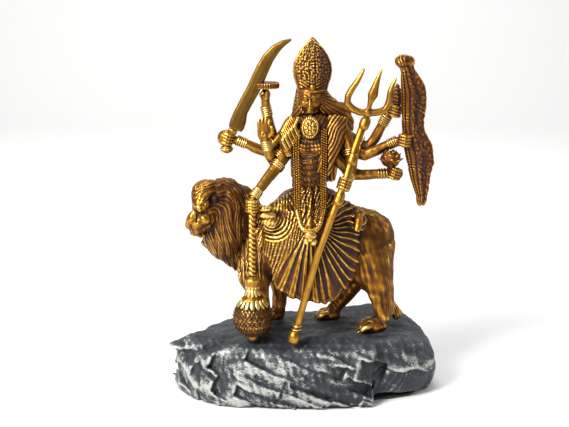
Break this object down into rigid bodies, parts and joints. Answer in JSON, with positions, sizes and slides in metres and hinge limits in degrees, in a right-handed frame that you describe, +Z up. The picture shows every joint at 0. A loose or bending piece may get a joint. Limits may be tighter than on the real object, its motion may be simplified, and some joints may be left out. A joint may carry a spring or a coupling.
{
  "type": "deity statuette",
  "caption": "Antique-gold resin statuette of a many-armed goddess seated on a walking lion, on a craggy grey rock base with a felt underside.",
  "frame": {"origin": "middle of the underside, where the felt rests on the table", "axes": "+Z up, -Y towards the front that the goddess faces, +X towards her left hand"},
  "size_m": [0.193, 0.1, 0.25],
  "materials": {
    "antique_gold_resin": "cold-cast resin painted metallic gold, with a dark brown wash left in the recesses",
    "dark_gold_resin": "cold-cast resin painted metallic gold, with a heavier brown wash",
    "grey_rock_resin": "cast resin painted dark blue-grey and dry-brushed silver on its edges",
    "felt": "thin dark felt",
    "steel": "cut steel wire"
  },
  "bodies": {
    "root": {"blessing_arm": "antique_gold_resin", "bow": "dark_gold_resin", "bow_arm": "antique_gold_resin", "chakra": "dark_gold_resin", "chakra_arm": "antique_gold_resin", "conch": "dark_gold_resin", "conch_arm": "antique_gold_resin", "crown": "antique_gold_resin", "far_foreleg": "antique_gold_resin", "far_foreleg_dowel": "steel", "far_hindleg": "antique_gold_resin", "far_hindleg_dowel": "steel", "felt_pad": "felt", "garland": "antique_gold_resin", "head": "antique_gold_resin", "left_foot": "antique_gold_resin", "lion_body": "antique_gold_resin", "lion_head": "antique_gold_resin", "lion_tail": "antique_gold_resin", "lotus": "dark_gold_resin", "lotus_arm": "antique_gold_resin", "mace_arm": "antique_gold_resin", "mace_head": "antique_gold_resin", "mace_shaft": "antique_gold_resin", "near_foreleg": "antique_gold_resin", "near_foreleg_dowel": "steel", "near_hindleg": "antique_gold_resin", "near_hindleg_dowel": "steel", "neck_dowel": "steel", "pendant": "antique_gold_resin", "rock_base": "grey_rock_resin", "seat_dowel": "steel", "shoulder_curls": "antique_gold_resin", "shoulder_sash": "antique_gold_resin", "skirt": "antique_gold_resin", "sword_arm": "antique_gold_resin", "sword_blade": "antique_gold_resin", "sword_hilt": "antique_gold_resin", "torso": "antique_gold_resin", "trident_arm": "antique_gold_resin", "trident_head": "antique_gold_resin", "trident_shaft": "antique_gold_resin", "veil": "antique_gold_resin"}
  },
  "joints": []
}
